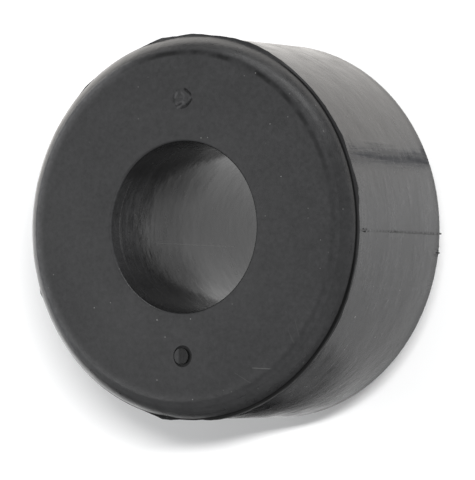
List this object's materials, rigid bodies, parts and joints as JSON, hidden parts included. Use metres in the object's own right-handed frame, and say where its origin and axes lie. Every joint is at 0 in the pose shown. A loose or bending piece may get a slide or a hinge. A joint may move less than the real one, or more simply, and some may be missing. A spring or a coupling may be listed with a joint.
{
  "type": "control arm bushing",
  "caption": "Round moulded rubber bushing with a bevelled head, a narrower spigot behind it and a plain bore along its axis.",
  "frame": {"origin": "centre of the spigot's end, on the bore's axis, where the bushing stands", "axes": "+Z along the bore, from the spigot's end to the bevelled face; +Y from the cleaner gate mark to the torn one; +X to the parting ridge that the picture shows"},
  "size_m": [0.0509, 0.0505, 0.038],
  "materials": {
    "rubber": "moulded black rubber, matt on the face and slightly glossy round the head"
  },
  "bodies": {
    "root": {"rubber_bushing": "rubber"}
  },
  "joints": []
}
